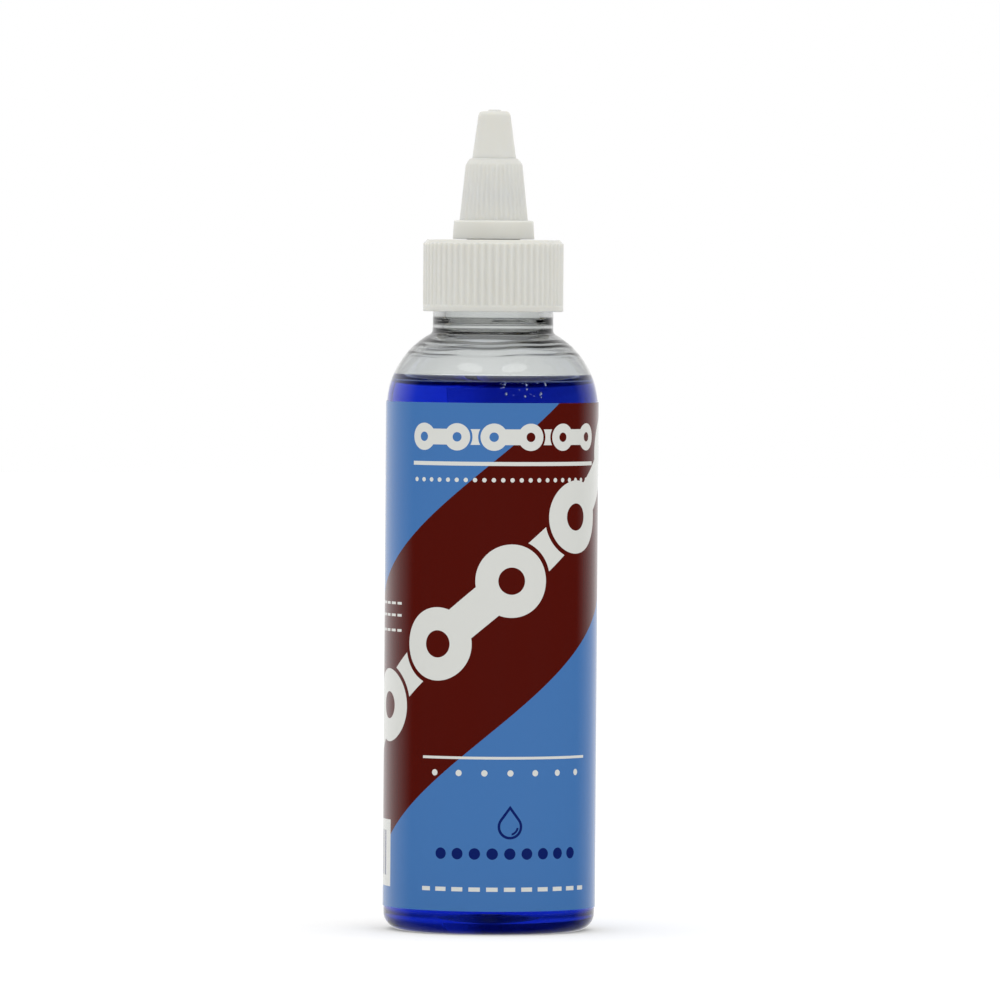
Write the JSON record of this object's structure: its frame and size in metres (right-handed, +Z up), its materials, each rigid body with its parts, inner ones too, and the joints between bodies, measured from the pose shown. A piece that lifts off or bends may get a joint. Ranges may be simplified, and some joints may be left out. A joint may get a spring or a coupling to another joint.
{
  "type": "chain lube bottle",
  "caption": "Clear round squeeze bottle of blue chain lube with a wrapped label, a ribbed screw cap and a tapered twist-open spout.",
  "frame": {"origin": "centre of the base, on the plane of the standing ring", "axes": "+Z up along the bottle's axis, label front towards -Y"},
  "size_m": [0.0408, 0.0408, 0.1577],
  "materials": {
    "clear_pet": "gloss",
    "blue_lube": "gloss",
    "label_film": "satin",
    "foam_liner": "matte",
    "white_polypropylene": "satin"
  },
  "bodies": {
    "bottle": {"bottle": "clear_pet", "label": "label_film", "lube_fill": "blue_lube"},
    "liner": {"cap_liner": "foam_liner"},
    "cap": {"screw_cap": "white_polypropylene"},
    "spout": {"twist_spout": "white_polypropylene"}
  },
  "joints": [
    {"name": "cap_lift", "type": "slide", "parent": "bottle", "child": "liner", "axis": [0, 0, 1], "range_m": [0, 0.00476]},
    {"name": "cap_turn", "type": "hinge", "parent": "liner", "child": "cap", "pos_m": [0, 0, 0.125], "axis": [0, 0, 1], "range_deg": [0, 540]},
    {"name": "spout_rise", "type": "slide", "parent": "cap", "child": "spout", "axis": [0, 0, 1], "range_m": [0, 0.004]}
  ],
  "couplings": [
    {"joint": "cap_lift", "follows": "cap_turn", "m_per_rad": 0.0005053}
  ]
}
